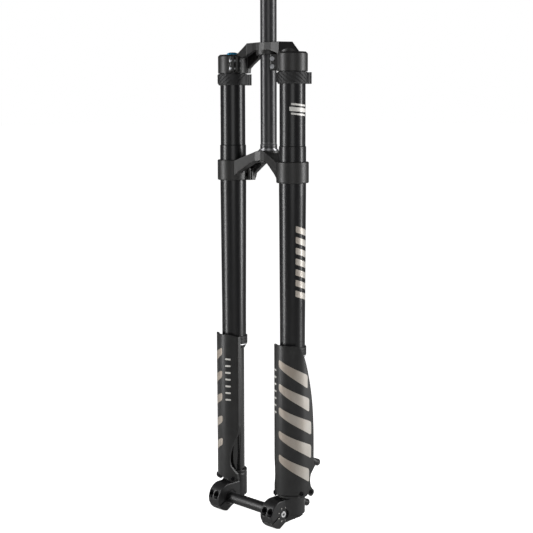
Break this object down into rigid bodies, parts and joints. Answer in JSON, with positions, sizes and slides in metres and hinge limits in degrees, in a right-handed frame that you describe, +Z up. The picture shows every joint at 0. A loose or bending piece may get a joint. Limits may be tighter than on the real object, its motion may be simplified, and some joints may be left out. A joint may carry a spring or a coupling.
{
  "type": "suspension fork",
  "caption": "Inverted dual-crown bicycle suspension fork with telescoping legs, leg guards, a thru-axle and a brake mount.",
  "frame": {"origin": "centre of the crown race seat, on the shoulder at the foot of the steerer", "axes": "+Z up the steerer, -Y forward, +X to the rider's left, the brake side"},
  "size_m": [0.2176, 0.1428, 0.93],
  "materials": {
    "anodised_black": "gloss black hard-anodised tube",
    "steerer_black": "black anodised, with a bare machined ring at the race seat",
    "forged_black": "satin black anodised forging",
    "dropout_black": "satin black anodised forging",
    "sliding_black": "polished black anodised sliding tube",
    "bare_aluminium": "machined",
    "ground_steel": "ground and polished",
    "black_screw": "black oxide",
    "bright_screw": "dark zinc plated",
    "bumper_rubber": "matt moulded rubber",
    "seal_rubber": "nitrile rubber",
    "elastomer": "microcellular elastomer",
    "bushing_polymer": "filled low-friction polymer",
    "guard_plastic": "satin moulded, with silver printed slashes",
    "blue_anodised": "blue anodised",
    "red_anodised": "red anodised",
    "valve_brass": "nickel-plated brass"
  },
  "bodies": {
    "upper_assembly": {"steerer_tube": "steerer_black", "lower_crown": "forged_black", "upper_crown": "forged_black", "upper_crown_leg_screws": "bright_screw", "steerer_clamp_screws": "black_screw", "lower_crown_screws": "black_screw", "outer_leg_left": "anodised_black", "outer_leg_right": "anodised_black", "frame_bumper_left": "bumper_rubber", "frame_bumper_right": "bumper_rubber", "wiper_seal_left": "seal_rubber", "wiper_seal_right": "seal_rubber", "wiper_spring_left": "ground_steel", "wiper_spring_right": "ground_steel", "oil_seal_left": "seal_rubber", "oil_seal_right": "seal_rubber", "outer_bushing_left": "bushing_polymer", "outer_bushing_right": "bushing_polymer", "top_cap_left": "anodised_black", "top_cap_right": "anodised_black", "damper_tube": "bare_aluminium", "compression_stem": "bare_aluminium", "compression_valve": "bare_aluminium", "damper_seal_head": "bare_aluminium", "air_shaft": "ground_steel", "air_piston": "bare_aluminium", "air_piston_seal": "seal_rubber", "top_out_bumper": "elastomer", "bottom_out_bumper": "elastomer"},
    "lower_assembly": {"inner_leg_left": "sliding_black", "inner_leg_right": "sliding_black", "inner_bushing_left": "bushing_polymer", "inner_bushing_right": "bushing_polymer", "dropout_left": "dropout_black", "dropout_right": "dropout_black", "leg_guard_left": "guard_plastic", "leg_guard_right": "guard_plastic", "guard_screws": "black_screw", "axle_pinch_screws": "black_screw", "damper_rod": "ground_steel", "rebound_piston": "bare_aluminium", "piston_band": "bushing_polymer", "damper_foot_nut": "ground_steel", "damper_foot_plug": "bare_aluminium", "air_seal_head": "bare_aluminium", "air_foot_plug": "bare_aluminium", "air_valve": "valve_brass", "air_valve_cap": "guard_plastic"},
    "compression_adjuster": {"compression_knob": "blue_anodised", "compression_needle": "ground_steel"},
    "rebound_adjuster": {"rebound_knob": "red_anodised", "rebound_needle": "ground_steel"},
    "axle": {"thru_axle": "dropout_black", "axle_drive_plug": "bare_aluminium"}
  },
  "joints": [
    {"name": "travel", "type": "slide", "parent": "upper_assembly", "child": "lower_assembly", "axis": [0, 0, 1], "range_m": [0, 0.203], "stiffness_N_per_m": 6000, "springref_m": -0.01},
    {"name": "compression_turn", "type": "hinge", "parent": "upper_assembly", "child": "compression_adjuster", "pos_m": [-0.075, -0.0163, 0.167], "axis": [0, 0, 1], "range_deg": [0, 300]},
    {"name": "rebound_turn", "type": "hinge", "parent": "lower_assembly", "child": "rebound_adjuster", "pos_m": [-0.075, -0.0163, -0.648], "axis": [0, 0, 1], "range_deg": [0, 300]},
    {"name": "axle_pull", "type": "slide", "parent": "lower_assembly", "child": "axle", "axis": [1, 0, 0], "range_m": [0, 0.15]}
  ]
}
